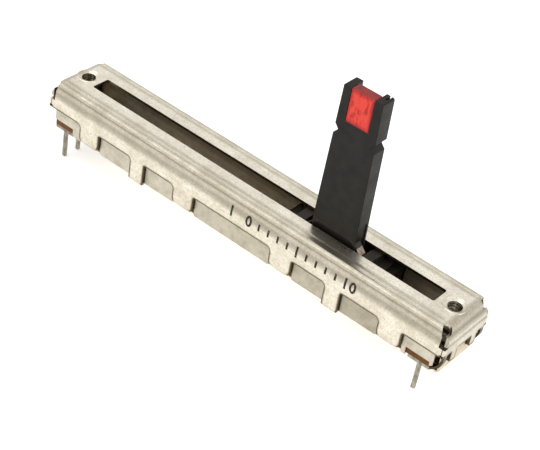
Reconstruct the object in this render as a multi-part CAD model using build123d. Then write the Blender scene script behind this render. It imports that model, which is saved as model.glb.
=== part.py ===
from build123d import *
import math
import os

# Slide potentiometer with a lit lever. Millimetres, +Z up, X along the travel.
# The middle of the body is at X 0 and Y 0, and the tips of the pins are at Z 0.

# Travel and the lever's place
travel = 60.0
lever_rest = 16.75
stop_room = 0.2

# Lever
lever_base_width = 8.8
lever_top_width = 7.5
lever_thickness = 3.0
lever_height = 27.2
notch_height = 18.95
notch_depth = 0.8
notch_half_opening = 0.9
nick_width = 0.4
nick_depth = 0.5
nick_from_edge = 0.45
lever_edge = 0.15
heel_height = 1.1
heel_depth = 0.25
groove_height = 3.9
groove_depth = 0.25
groove_border = 0.35
foot_width = 6.4
foot_thickness = 2.4
foot_length = 4.6
press_room = 0.03

# Light in the lever's top
led_width = 4.4
led_depth = 2.0
led_height = 6.0
led_room = 0.05
led_window_wall_height = 2.6
led_corner = 0.12
frame_pitch = 2.54
frame_post = 0.5
cup_width = 1.5
cup_height = 1.1
cup_rise = 2.0
chip_size = 0.36
anode_wing = 0.9
anode_rise = 3.3

# Flat leads from the light down to the brushes
lead_thickness = 0.25
lead_width = 1.5
lead_setback = 0.4
lead_room = 0.06
lead_turn = 0.35
lead_bend_height = 2.9
lead_exit_height = 0.15
lead_crest_drop = 0.6
lead_crest_reach = 0.5
lead_drop_reach = 1.2
lead_drop_start = 1.2

# Cover of sheet steel
cover_sheet = 0.5
slot_width = 3.8
slot_end_room = 2.75
slot_corner = 0.4
slot_to_hole = 2.85
hole_to_end = 3.2
end_bend = 1.25
end_lean = 0.55
end_lean_depth = 2.55
end_dip = 0.1
end_dip_depth = 1.95
side_lean = 0.3
side_lean_depth = 3.3
side_bend = 0.8
rim_step = 0.07
rim_inner = 3.8
rim_outer = 4.25
side_dip = 0.1
side_dip_depth = 0.28
side_knee = 0.2
side_knee_depth = 2.1
skirt_depth = 5.45
band_height = 1.7
crease_width = 0.16
crease_depth = 0.12
thread_minor_radius = 1.25
thread_collar_radius = 1.9
thread_collar_depth = 1.7
countersink_radius = 1.7
countersink_depth = 0.25

# Corner reliefs of the cover
relief_radius = 0.85
relief_from_end = 0.95
relief_from_side = 1.0
relief_slit = 0.7
relief_trim = 0.4
relief_foot = 0.45
relief_foot_length = 0.45
corner_seam = 0.14

# Crimp tabs: the outermost one from the cover's end, then the steps inward
outer_tab_from_end = 10.0
middle_tab_step = 11.6
inner_tab_step = 10.8
wide_tab = 4.6
narrow_tab = 3.2
wide_tab_corner = 1.5
narrow_tab_corner = 1.0
tab_fillet = 0.8
crimp_room = 0.05
wide_tab_lean = 35.0
wide_tab_tip = 0.7
narrow_tab_lean = 38.0
narrow_tab_tip = 0.8

# Lugs and hooks at the ends of the cover
lug_place = 2.75
lug_width = 1.7
lug_length = 2.1
lug_corner = 0.3
hook_width = 0.9
hook_sheet = 0.4
hook_reach = 2.0
hook_rise = 2.5
hook_drop = 0.55
hook_bow_x = 0.75
hook_bow_z = 0.85

# Tray of sheet steel under the board
tray_sheet = 0.35
tray_room = 0.05
tray_wall_rise = 4.85
tray_bend = 0.45
tray_notch_height = 1.35
tray_leg_slope = 0.45
tray_notch_room = 0.15
tray_notch_flare = 0.45
tray_left_gap = 0.7
tray_right_gap = 1.1
window_rise = 0.35
window_left_length = 4.4
window_left_slant = 0.6
window_right_length = 4.6
window_right_leg = 0.6
tray_floor_inset = 0.5
tray_ear = 1.4

# Board of brown laminate
board_width = 10.2
board_thickness = 1.1
board_room = 0.1
board_left_gap = 0.5
board_right_gap = 0.5

# Printed tracks and their rows
outer_row_inset = 1.2
film = 0.08
resistive_width = 1.8
collector_width = 1.8
led_track_width = 1.8
track_end_inset = 1.0

# Terminals
pin_length = 6.2
pin_width = 0.65
pin_depth = 0.55
pin_tip = 0.15
pin_spread = 0.7
plate_thickness = 0.55
plate_length = 4.2
plate_width = 1.9
left_pin_inset = 2.1
right_pin_inset = 3.2
eyelet_offset = 1.2
eyelet_bore = 0.4
eyelet_radius = 0.65
eyelet_head_radius = 0.95
eyelet_head = 0.15
eyelet_room = 0.02

# Carriage
carriage_side_room = 0.15
carriage_height = 3.8
carriage_waist = 0.35
carriage_end_pad = 3.4
bumper_length = 1.8
bumper_width = 1.8
bumper_height = 1.6
bumper_lift = 0.5
pad_start = 6.0
pad_end = 7.8
pad_round = 1.6
shelf_end = 9.6
shelf_room = 0.3
hump_width = 5.2
hump_gap = 0.25
dome_radius = 0.7
dome_gap = 0.1
dome_place_x = 8.6
dome_inset = 1.5
ceiling_room = 2.3
underside_gap = 1.52
edge_break = 0.25

# Contacts under the carriage
contact_sheet = 0.15
contact_gap = 0.03
finger_width = 0.32
finger_gap = 0.12
finger_run = 3.6
finger_tip = 0.35
finger_count = 3
wiper_back = 3.0
wiper_front = 1.0
brush_length = 3.4
brush_lap = 0.5
stud_from_edge = 0.9
stud_radius = 0.4
stud_head = 0.14
stud_room = 0.03

# Drag spring on top of the carriage
spring_length = 11.0
spring_width = 1.2
spring_sheet = 0.15
spring_inset = 1.35
spring_seat = 1.6
spring_gap = 0.04

# Heights worked out from the pin tips up
board_bottom = pin_length
board_top = board_bottom + board_thickness
track_top = board_top + film
tray_bottom = board_bottom - tray_sheet
carriage_bottom = track_top + underside_gap
carriage_top = carriage_bottom + carriage_height
ceiling = carriage_top + ceiling_room
cover_top = ceiling + cover_sheet
skirt_bottom = cover_top - skirt_depth
tray_wall_top = board_top + tray_wall_rise
hump_top = ceiling - hump_gap

# Widths worked out from the board out
tray_inner = board_width / 2 + board_room
tray_outer = tray_inner + tray_sheet
cover_inner = tray_outer + tray_room
cover_half_width = cover_inner + cover_sheet

# Lengths worked out from the travel
lever_slot_width = lever_base_width
slot_length = travel + lever_slot_width + 2 * slot_end_room
hole_place = slot_length / 2 + slot_to_hole
cover_half_length = hole_place + hole_to_end
inner_half_length = cover_half_length - cover_sheet
tray_left_end = inner_half_length - tray_left_gap
tray_right_end = inner_half_length - tray_right_gap
window_left_end = tray_left_end - window_left_length
window_right_end = tray_right_end - window_right_leg
window_right_start = window_right_end - window_right_length
board_left_end = inner_half_length - board_left_gap
board_right_end = inner_half_length - board_right_gap
left_pin_place = board_left_end - left_pin_inset
right_pin_place = board_right_end - right_pin_inset
outer_tab_place = cover_half_length - outer_tab_from_end
middle_tab_place = outer_tab_place - middle_tab_step
inner_tab_place = middle_tab_place - inner_tab_step
bumper_end = inner_half_length - travel / 2 - stop_room
carriage_half_length = bumper_end - bumper_length

# Rows of the four tracks across the board, from front to back
row_pitch = (board_width - 2 * outer_row_inset) / 3
resistive_row = -1.5 * row_pitch
collector_row = -0.5 * row_pitch
inner_led_row = 0.5 * row_pitch
outer_led_row = 1.5 * row_pitch
lead_row = -lever_thickness / 2 + lead_setback + lead_width / 2
lead_drop_x = lever_base_width / 2 + lead_drop_reach
spring_place = board_width / 2 - spring_inset
dome_place_y = board_width / 2 - dome_inset

SIDES = (-1, 1)


def block(x0, x1, y0, y1, z0, z1):
    """A box between two corners."""
    size = Box(x1 - x0, y1 - y0, z1 - z0)
    return Pos((x0 + x1) / 2, (y0 + y1) / 2, (z0 + z1) / 2) * size


def post(radius, x, y, z0, z1):
    """An upright cylinder between two heights."""
    return Pos(x, y, (z0 + z1) / 2) * Cylinder(radius, z1 - z0)


def extrude_across(outline, y0, y1):
    """Extrude an outline drawn in X and Z from y0 to y1."""
    face = make_face(outline)
    solid = extrude(face, amount=y1 - y0, dir=(0, 0, 1))
    return Pos(0, y1, 0) * (Plane.XZ * solid)


def extrude_along(outline, x0, x1):
    """Extrude an outline drawn in Y and Z from x0 to x1."""
    face = make_face(outline)
    solid = extrude(face, amount=x1 - x0, dir=(0, 0, 1))
    return Pos(x0, 0, 0) * (Plane.YZ * solid)


def mirrored_line(half):
    """Close a half outline, given from the middle out, with its mirror image."""
    half = Curve() + half
    return half + mirror(half, about=Plane.YZ)


# Cover


def side_profile(inset, bottom):
    """Section of the cover across the travel, as a closed outline in Y and Z."""
    top = cover_top - inset
    bend = side_bend - inset
    half = cover_half_width - inset
    shoulder = half - side_lean
    rim = top - rim_step if inset == 0 else top
    bend_z = rim - bend
    right = [
        Line((0, top), (rim_inner, top)),
        Line((rim_inner, top), (rim_outer, rim)),
        Line((rim_outer, rim), (shoulder - bend, rim)),
        RadiusArc((shoulder - bend, rim), (shoulder, bend_z), bend),
    ]
    knee = (half - side_knee, cover_top - side_knee_depth)
    if inset == 0:
        dip_z = bend_z - side_dip
        below_z = bend_z - side_dip_depth
        right.append(Line((shoulder, bend_z), (shoulder - side_dip, dip_z)))
        right.append(Line((shoulder - side_dip, dip_z), (shoulder, below_z)))
        right.append(Line((shoulder, below_z), knee))
    else:
        right.append(Line((shoulder, bend_z), knee))
    lean_z = cover_top - side_lean_depth
    right.append(Line(knee, (half, lean_z)))
    right.append(Line((half, lean_z), (half, bottom)))
    right.append(Line((half, bottom), (0, bottom)))
    return mirrored_line(right)


def end_profile(inset, bottom):
    """Section of the cover along the travel, as a closed outline in X and Z."""
    top = cover_top - inset
    bend = end_bend - inset
    half = cover_half_length - inset
    shoulder = half - end_lean
    bend_z = cover_top - end_bend
    dip = (shoulder + end_dip, cover_top - end_dip_depth)
    knee = (half, cover_top - end_lean_depth)
    right = [
        Line((0, top), (shoulder - bend, top)),
        RadiusArc((shoulder - bend, top), (shoulder, bend_z), bend),
        Line((shoulder, bend_z), dip),
        Line(dip, knee),
        Line(knee, (half, bottom)),
        Line((half, bottom), (0, bottom)),
    ]
    return mirrored_line(right)


def envelope(inset, bottom):
    """The cover's form, shrunk by an inset, down to a given height."""
    long_prism = extrude_along(
        side_profile(inset, bottom), -cover_half_length, cover_half_length
    )
    cross_prism = extrude_across(
        end_profile(inset, bottom), -cover_half_width, cover_half_width
    )
    return long_prism & cross_prism


def corner_relief(end, side):
    """The hole, the slit, its short foot and the seam that free one corner for folding."""
    hole_x = cover_half_length - relief_from_end
    hole_y = cover_half_width - relief_from_side
    slit_x = inner_half_length - relief_slit
    trim_y = cover_half_width - relief_trim
    far_x = cover_half_length + 1
    far_y = cover_half_width + 1
    band_top = skirt_bottom + band_height
    foot_top = band_top + relief_foot
    relief = post(relief_radius, hole_x, hole_y, cover_top - 2 * relief_radius, cover_top + 1)
    relief += block(slit_x, inner_half_length, hole_y, far_y, band_top, cover_top + 1)
    relief += block(slit_x, far_x, trim_y, far_y, band_top, cover_top + 1)
    relief += block(slit_x, far_x, trim_y - relief_foot_length, far_y, band_top, foot_top)
    relief += block(
        inner_half_length, inner_half_length + corner_seam, cover_inner - corner_seam, far_y,
        skirt_bottom - 1, foot_top,
    )
    if end < 0:
        relief = mirror(relief, about=Plane.YZ)
    return mirror(relief, about=Plane.XZ) if side < 0 else relief


def end_crease(end):
    """A shallow groove pressed across an end wall, level with the slits' feet."""
    middle = skirt_bottom + band_height + relief_foot / 2
    outer = cover_half_length
    groove = Polyline(
        (outer - crease_depth, middle), (outer + crease_depth, middle - crease_width),
        (outer + crease_depth, middle + crease_width), close=True,
    )
    cutter = extrude_across(groove, -cover_half_width - 1, cover_half_width + 1)
    return mirror(cutter, about=Plane.YZ) if end < 0 else cutter


def tab_solid(middle, width, corner, bend_z, lean, tip, side):
    """A crimp tab with rounded corners whose end leans in under the tray."""
    angle = math.radians(lean)
    inner_end = (cover_inner - tip * math.sin(angle), bend_z - tip * math.cos(angle))
    outer_end = (
        inner_end[0] + cover_sheet * math.cos(angle), inner_end[1] - cover_sheet * math.sin(angle)
    )
    outer_bend_z = bend_z - cover_sheet * math.tan(angle / 2)
    bottom = outer_end[1]
    root = skirt_bottom + cover_sheet
    left = middle - width / 2
    right = middle + width / 2
    front = [
        Line((left - tab_fillet, root), (left - tab_fillet, skirt_bottom)),
        RadiusArc((left - tab_fillet, skirt_bottom), (left, skirt_bottom - tab_fillet), tab_fillet),
        Line((left, skirt_bottom - tab_fillet), (left, bottom + corner)),
        RadiusArc((left, bottom + corner), (left + corner, bottom), -corner),
        Line((left + corner, bottom), (right - corner, bottom)),
        RadiusArc((right - corner, bottom), (right, bottom + corner), -corner),
        Line((right, bottom + corner), (right, root)),
        Line((right, root), (left - tab_fillet, root)),
    ]
    outline = extrude_across(Curve() + front, 0, cover_half_width + 1)
    leaning = Polyline(
        (cover_half_width, root), (cover_half_width, outer_bend_z), outer_end, inner_end,
        (cover_inner, bend_z), (cover_inner, root), close=True,
    )
    tab = extrude_along(leaning, left - tab_fillet, right) & outline
    return mirror(tab, about=Plane.XZ) if side < 0 else tab


def tab_list():
    """Every tab on one side: its middle, its width and whether it is a narrow one."""
    tabs = []
    for sign in SIDES:
        tabs.append((sign * outer_tab_place, wide_tab, False))
        tabs.append((sign * middle_tab_place, narrow_tab, True))
        tabs.append((sign * inner_tab_place, wide_tab, False))
    return tabs


def end_lug(end, side):
    """A short lug that hangs from the end wall."""
    outer = cover_half_length
    lug = block(
        outer - cover_sheet, outer,
        lug_place - lug_width / 2, lug_place + lug_width / 2,
        skirt_bottom - lug_length, skirt_bottom + cover_sheet,
    )
    low = lug.edges().filter_by(Axis.X).group_by(Axis.Z)[0]
    lug = fillet(low, lug_corner)
    lug = mirror(lug, about=Plane.XZ) if side < 0 else lug
    return mirror(lug, about=Plane.YZ) if end < 0 else lug


def hook_heights():
    """Height of the hook's tip underneath and of its root."""
    low = tray_bottom + hook_drop
    return low, low + hook_rise


def corner_hook(side):
    """A hook at a right-hand corner that curls under the tray's last leg."""
    outer = cover_half_length
    low, high = hook_heights()
    tip = outer - hook_reach
    root = skirt_bottom + cover_sheet
    inner_bow = (outer - hook_bow_x - hook_sheet * 0.8, low + hook_bow_z + hook_sheet * 0.7)
    curl = [
        Line((outer, root), (outer, high)),
        ThreePointArc((outer, high), (outer - hook_bow_x, low + hook_bow_z), (tip, low)),
        Line((tip, low), (tip, low + hook_sheet)),
        ThreePointArc((tip, low + hook_sheet), inner_bow, (outer - hook_sheet, high)),
        Line((outer - hook_sheet, high), (outer - hook_sheet, root)),
        Line((outer - hook_sheet, root), (outer, root)),
    ]
    front = cover_inner
    hook = extrude_across(Curve() + curl, front - hook_width, front)
    return mirror(hook, about=Plane.XZ) if side < 0 else hook


def make_top_cover():
    shell = envelope(0, skirt_bottom) - envelope(cover_sheet, skirt_bottom - 1)
    slot = Pos(0, 0, cover_top) * Box(slot_length, slot_width, 4 * cover_sheet)
    slot = fillet(slot.edges().filter_by(Axis.Z), slot_corner)
    shell -= slot
    wide_z = tray_notch_z() - crimp_room
    narrow_z = tray_bottom + tray_bend * math.sin(math.radians(narrow_tab_lean))
    for side in SIDES:
        for middle, width, narrow in tab_list():
            if narrow:
                shell += tab_solid(
                    middle, width, narrow_tab_corner, narrow_z, narrow_tab_lean, narrow_tab_tip, side
                )
            else:
                shell += tab_solid(middle, width, wide_tab_corner, wide_z, wide_tab_lean, wide_tab_tip, side)
        shell += corner_hook(side)
    for end in SIDES:
        hole_x = end * hole_place
        shell += post(thread_collar_radius, hole_x, 0, cover_top - thread_collar_depth, cover_top)
        shell -= post(thread_minor_radius, hole_x, 0, cover_top - 2 * thread_collar_depth, cover_top + 1)
        sink = Cone(thread_minor_radius, countersink_radius, countersink_depth)
        shell -= Pos(hole_x, 0, cover_top - countersink_depth / 2) * sink
        lugs = end_lug(end, -1) + end_lug(end, 1)
        shell += lugs
        shell -= end_crease(end)
        for side in SIDES:
            shell -= corner_relief(end, side)
    return shell


# Tray


def tray_notch_z():
    """Height of the roof of the notches that the wide tabs fold into."""
    return tray_bottom + tray_notch_height


def make_bottom_tray():
    outer_bend = tray_bend
    inner_bend = tray_bend - tray_sheet
    right = [
        Line((0, tray_bottom), (tray_outer - outer_bend, tray_bottom)),
        RadiusArc((tray_outer - outer_bend, tray_bottom), (tray_outer, tray_bottom + outer_bend), -outer_bend),
        Line((tray_outer, tray_bottom + outer_bend), (tray_outer, tray_wall_top)),
        Line((tray_outer, tray_wall_top), (tray_inner, tray_wall_top)),
        Line((tray_inner, tray_wall_top), (tray_inner, board_bottom + inner_bend)),
        RadiusArc((tray_inner, board_bottom + inner_bend), (tray_inner - inner_bend, board_bottom), inner_bend),
        Line((tray_inner - inner_bend, board_bottom), (0, board_bottom)),
    ]
    tray = extrude_along(mirrored_line(right), -tray_left_end, tray_right_end)
    window_top = board_top + window_rise
    low = tray_bottom - 1
    reach = tray_outer + 1
    floor_left = -window_left_end + window_left_slant
    tray -= block(
        -tray_left_end - 1, floor_left, -tray_inner + tray_floor_inset,
        tray_inner - tray_floor_inset, low, board_bottom + tray_floor_inset,
    )
    tray -= block(
        window_right_start, tray_right_end + 1, -tray_inner + tray_floor_inset,
        tray_inner - tray_floor_inset, low, board_bottom + tray_floor_inset,
    )
    left_window = Polyline(
        (-tray_left_end - 1, low), (-tray_left_end - 1, window_top), (-window_left_end, window_top),
        (-window_left_end, board_bottom + board_thickness / 2),
        (-window_left_end + window_left_slant, tray_bottom), (-window_left_end + window_left_slant, low),
        close=True,
    )
    right_window = Polyline(
        (window_right_start, low), (window_right_start, window_top),
        (window_right_end, window_top), (window_right_end, low), close=True,
    )
    tray -= extrude_across(left_window, -reach, reach)
    tray -= extrude_across(right_window, -reach, reach)
    leg_z = hook_heights()[0] + hook_sheet + crimp_room
    leg_cut = Polyline(
        (window_right_end - 1, low), (window_right_end - 1, leg_z), (window_right_end, leg_z),
        (tray_right_end + 1, leg_z + tray_leg_slope * (1 + window_right_leg) / window_right_leg),
        (tray_right_end + 1, low), close=True,
    )
    tray -= extrude_across(leg_cut, -reach, reach)
    ear_y = tray_inner - tray_ear
    tray += block(-tray_left_end, -tray_left_end + tray_sheet, ear_y, tray_inner, window_top, tray_wall_top)
    tray += block(tray_right_end - tray_sheet, tray_right_end, ear_y, tray_inner, window_top, tray_wall_top)
    for middle, width, narrow in tab_list():
        if narrow:
            continue
        half = width / 2 + tray_notch_room
        notch = Polyline(
            (middle - half, tray_notch_z()), (middle + half, tray_notch_z()),
            (middle + half, tray_bottom + tray_notch_flare),
            (middle + half + tray_notch_flare, tray_bottom - tray_sheet),
            (middle - half - tray_notch_flare, tray_bottom - tray_sheet),
            (middle - half, tray_bottom + tray_notch_flare), close=True,
        )
        cutter = extrude_across(notch, tray_inner - tray_notch_room, reach)
        tray -= cutter
        tray -= mirror(cutter, about=Plane.XZ)
    return tray


# Board and tracks


def eyelet_places():
    """Name, row, end and X of the eyelet of every terminal."""
    return [
        ("start", resistive_row, -1),
        ("wiper", collector_row, -1),
        ("led_cathode", inner_led_row, -1),
        ("end", resistive_row, 1),
        ("led_anode", outer_led_row, 1),
    ]


def pin_x(end):
    return -left_pin_place if end < 0 else right_pin_place


def eyelet_x(end):
    return pin_x(end) - end * eyelet_offset


def make_element_board():
    board = block(-board_left_end, board_right_end, -board_width / 2, board_width / 2, board_bottom, board_top)
    notch_x = cover_half_length - hook_reach - board_room
    notch_y = cover_inner - hook_width - board_room
    notch = block(notch_x, board_right_end + 1, notch_y, board_width, board_bottom - 1, board_top + 1)
    board -= notch + mirror(notch, about=Plane.XZ)
    for name, row, end in eyelet_places():
        board -= post(eyelet_radius + eyelet_room, eyelet_x(end), row, board_bottom - 1, board_top + 1)
    return board


def make_track(row, width):
    """A printed strip, pierced where an eyelet passes."""
    x0 = -board_left_end + track_end_inset
    x1 = board_right_end - track_end_inset
    track = block(x0, x1, row - width / 2, row + width / 2, board_top, track_top)
    for name, eyelet_row, end in eyelet_places():
        if eyelet_row == row:
            track -= post(eyelet_radius + eyelet_room, eyelet_x(end), row, board_bottom, track_top + 1)
    return track


# Terminals


def pin_y(row):
    """Each pin stands a little further out than its track."""
    return row + math.copysign(pin_spread, row) if abs(row) > row_pitch else row


def make_terminal(row, end):
    plate_top = board_bottom
    plate_bottom = board_bottom - plate_thickness
    x = pin_x(end)
    ex = eyelet_x(end)
    far = ex - end * plate_width / 2
    near = far + end * plate_length
    y = pin_y(row)
    edge = board_width / 2
    y0 = -edge if row < -row_pitch else row - plate_width / 2
    y1 = edge if row > row_pitch else row + plate_width / 2
    plate = block(min(far, near), max(far, near), y0, y1, plate_bottom, plate_top)
    pin = block(x - pin_width / 2, x + pin_width / 2, y - pin_depth / 2, y + pin_depth / 2, 0, plate_top)
    pin = chamfer(pin.edges().group_by(Axis.Z)[0], pin_tip)
    terminal = plate + pin
    terminal -= post(eyelet_radius + eyelet_room, ex, row, plate_bottom - 1, plate_top + 1)
    return terminal


def make_eyelet(row, end):
    """A hollow rivet that holds a terminal to the end of its track."""
    x = eyelet_x(end)
    low = board_bottom - plate_thickness
    rivet = post(eyelet_radius, x, row, low, track_top + eyelet_head)
    rivet += post(eyelet_head_radius, x, row, track_top, track_top + eyelet_head)
    return rivet - post(eyelet_bore, x, row, low - 1, track_top + 1)


# Carriage, lever and light. Modelled with the lever at X 0, then moved to its rest.


def make_carriage():
    half_width = tray_inner - carriage_side_room
    waist = half_width - carriage_waist
    body = block(-carriage_half_length, carriage_half_length, -waist, waist, carriage_bottom, carriage_top)
    for end in SIDES:
        outer = end * carriage_half_length
        inner = end * (carriage_half_length - carriage_end_pad)
        x0, x1 = min(outer, inner), max(outer, inner)
        body += block(x0, x1, -half_width, half_width, carriage_bottom, carriage_top)
    corners = body.edges().filter_by(Axis.Z).group_by(SortBy.DISTANCE)[-1]
    body = chamfer(corners, edge_break)
    half_seat = lever_base_width / 2 - edge_break
    body += block(-half_seat, half_seat, -hump_width / 2, hump_width / 2, carriage_top, hump_top)
    pad = block(pad_start, pad_end, -hump_width / 2, hump_width / 2, carriage_top, hump_top)
    pad = fillet(pad.edges().filter_by(Axis.Z).group_by(Axis.X)[0], pad_round)
    shelf_top = cover_top - thread_collar_depth - shelf_room
    pad += block(pad_end, shelf_end, -hump_width / 2, hump_width / 2, carriage_top, shelf_top)
    body += pad + mirror(pad, about=Plane.YZ)
    bumper_y = -waist + bumper_width
    bumper_z = carriage_bottom + bumper_lift
    for end in SIDES:
        x0, x1 = sorted((end * (carriage_half_length - edge_break), end * bumper_end))
        body += block(x0, x1, -waist + edge_break, bumper_y, bumper_z, bumper_z + bumper_height)
        for side in SIDES:
            dome_top = ceiling - dome_gap
            body += post(dome_radius, end * dome_place_x, side * dome_place_y, carriage_top, dome_top)
    socket_x = foot_width / 2 + press_room
    socket_y = foot_thickness / 2 + press_room
    body -= block(-socket_x, socket_x, -socket_y, socket_y, hump_top - foot_length - press_room, hump_top + 1)
    for end in SIDES:
        body -= block(
            end * lead_drop_x - lead_thickness / 2 - lead_room, end * lead_drop_x + lead_thickness / 2 + lead_room,
            lead_row - lead_width / 2 - lead_room, lead_row + lead_width / 2 + lead_room,
            carriage_bottom - 1, hump_top + 1,
        )
    for x, y in stud_places():
        body += post(stud_radius, x, y, carriage_bottom - contact_sheet - stud_head, carriage_bottom)
    return body


def stud_places():
    """Studs under the carriage that the contacts are staked onto."""
    wiper_y = (resistive_row + collector_row) / 2
    brush_x = lead_drop_x - brush_lap + brush_length - stud_from_edge
    return [
        (stud_from_edge - wiper_back, wiper_y), (wiper_front - stud_from_edge, wiper_y),
        (-brush_x, inner_led_row), (brush_x, outer_led_row),
    ]


def lead_path(end):
    """Centre line of one flat lead, from the light to the carriage's underside."""
    base = cover_top
    x = lever_base_width / 2
    return FilletPolyline(
        (end * frame_pitch / 2, 0, cover_top + led_floor()),
        (end * frame_pitch / 2, 0, base + lead_bend_height),
        (end * (x - lead_thickness / 2), 0, base + lead_exit_height),
        (end * (x + lead_crest_reach), 0, base - lead_crest_drop),
        (end * lead_drop_x, 0, base - lead_drop_start),
        (end * lead_drop_x, 0, carriage_bottom),
        radius=lead_turn,
    )


def led_floor():
    """Height of the floor of the light's window above the cover."""
    return lever_height - led_height - led_room


def swept_lead(end, thickness, width):
    path = lead_path(end)
    section = Plane(origin=path @ 0, x_dir=(1, 0, 0), z_dir=path % 0) * Rectangle(thickness, width)
    return Pos(0, lead_row, 0) * sweep(section, path=path)


def make_lever():
    base_z = hump_top
    top_z = cover_top + lever_height
    notch_z = cover_top + notch_height
    slope = (lever_base_width - lever_top_width) / 2 / lever_height

    def half_at(z):
        return lever_base_width / 2 - slope * max(z - cover_top, 0)

    upper = notch_z + notch_half_opening
    lower = notch_z - notch_half_opening
    right = [
        (half_at(base_z), base_z), (half_at(cover_top), cover_top), (half_at(lower), lower),
        (half_at(notch_z) - notch_depth, notch_z),
        (half_at(upper), upper), (half_at(top_z), top_z),
    ]
    left = [(-x, z) for x, z in reversed(right)]
    lever = extrude_across(Polyline(*right, *left, close=True), -lever_thickness / 2, lever_thickness / 2)
    lever = chamfer(lever.edges().filter_by(Axis.Y).group_by(Axis.Z)[-1], edge_break)
    front_edges = lever.faces().sort_by(Axis.Y)[0].edges()
    lever = chamfer(front_edges.group_by(Axis.Z)[1:], lever_edge)
    heel_x = lever_base_width
    lever -= block(
        -heel_x, heel_x, -lever_thickness, -lever_thickness / 2 + heel_depth, base_z - 1, cover_top + heel_height
    )
    groove_x = lever_base_width / 2 - groove_depth
    groove_y = lever_thickness / 2 - groove_border
    groove = block(groove_x, lever_base_width, -groove_y, groove_y, base_z - 1, cover_top + groove_height)
    lever -= groove + mirror(groove, about=Plane.YZ)
    lever += block(
        -foot_width / 2, foot_width / 2, -foot_thickness / 2, foot_thickness / 2,
        hump_top - foot_length, hump_top,
    )
    window_x = led_width / 2 + led_room
    floor_z = cover_top + led_floor()
    lever -= block(
        -window_x, window_x, -lever_thickness, -lever_thickness / 2 + led_depth + led_room, floor_z, top_z + 1
    )
    lever -= block(
        -window_x, window_x, -lever_thickness, lever_thickness, floor_z + led_window_wall_height, top_z + 1
    )
    nick_x = half_at(top_z) - nick_from_edge
    lever -= block(
        nick_x - nick_width, nick_x, 0, lever_thickness, top_z - nick_depth, top_z + 1
    )
    for end in SIDES:
        lever -= swept_lead(end, lead_thickness + 2 * lead_room, lead_width + 2 * lead_room)
    return lever


def led_frame(end):
    """The part of a lead inside the light: a cup on one side, a wing on the other."""
    bottom = cover_top + led_floor()
    y = lead_row
    half = frame_post / 2
    x = end * frame_pitch / 2
    if end < 0:
        rise = bottom + cup_rise
        frame = block(x - half, x + half, y - half, y + half, bottom, rise)
        cup_x0, cup_x1 = sorted((x - half, x - half + cup_width))
        frame += block(cup_x0, cup_x1, y - half, y + half, rise, rise + cup_height)
    else:
        rise = bottom + anode_rise
        frame = block(x - half, x + half, y - half, y + half, bottom, rise)
        wing_x0, wing_x1 = sorted((x + half, x + half - anode_wing))
        frame += block(wing_x0, wing_x1, y - half, y + half, rise, rise + frame_post)
    return frame


def chip_place():
    x = -frame_pitch / 2 - frame_post / 2 + cup_width / 2
    z = cover_top + led_floor() + cup_rise + cup_height
    return x, lead_row, z


def make_led_lead(end):
    return swept_lead(end, lead_thickness, lead_width) + led_frame(end)


def make_led_chip():
    x, y, z = chip_place()
    half = chip_size / 2
    return block(x - half, x + half, y - half, y + half, z, z + chip_size)


def make_led_body():
    bottom = cover_top + led_floor() + led_room
    y0 = -lever_thickness / 2
    body = block(-led_width / 2, led_width / 2, y0, y0 + led_depth, bottom, bottom + led_height)
    body = chamfer(body.edges().group_by(Axis.Z)[-1] + body.edges().filter_by(Axis.Z), led_corner)
    for end in SIDES:
        body -= led_frame(end)
    return body - make_led_chip()


# Contacts under the carriage


def fingers(x0, row, direction):
    """Springy fingers that run down from a contact's plate to a track."""
    top = carriage_bottom - contact_sheet
    tip_z = track_top + contact_gap
    x1 = x0 + direction * finger_run
    x2 = x1 + direction * finger_tip
    rise = finger_tip * 0.8
    lines = Polyline(
        (x0, top), (x0, top + contact_sheet), (x0 + direction * contact_sheet, top + contact_sheet),
        (x1, tip_z + contact_sheet), (x2, tip_z + contact_sheet + rise), (x2 + direction * contact_sheet / 2,
        tip_z + rise), (x1, tip_z), close=True,
    )
    total = finger_count * finger_width + (finger_count - 1) * finger_gap
    group = []
    for index in range(finger_count):
        y0 = row - total / 2 + index * (finger_width + finger_gap)
        group.append(extrude_across(lines, y0, y0 + finger_width))
    return group


def contact_plate(x0, x1, y0, y1):
    """Flat part of a contact, with holes for the studs."""
    plate = block(x0, x1, y0, y1, carriage_bottom - contact_sheet, carriage_bottom)
    for x, y in stud_places():
        if x0 < x < x1 and y0 < y < y1:
            plate -= post(stud_radius + stud_room, x, y, carriage_bottom - 1, carriage_bottom + 1)
    return plate


def make_wiper():
    span = finger_count * finger_width + (finger_count - 1) * finger_gap
    y0 = resistive_row - span / 2
    y1 = collector_row + span / 2
    wiper = contact_plate(-wiper_back, wiper_front, y0, y1)
    for row in (resistive_row, collector_row):
        for finger in fingers(wiper_front, row, 1):
            wiper += finger
    return wiper


def make_led_brush(end, row):
    """Brush that carries the light's current from its lead to its own track."""
    span = finger_count * finger_width + (finger_count - 1) * finger_gap
    y0 = lead_row - lead_width / 2
    y1 = row + span / 2
    inner = end * (lead_drop_x - brush_lap)
    outer = inner + end * brush_length
    brush = contact_plate(min(inner, outer), max(inner, outer), y0, y1)
    for finger in fingers(inner, row, -end):
        brush += finger
    return brush


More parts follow.
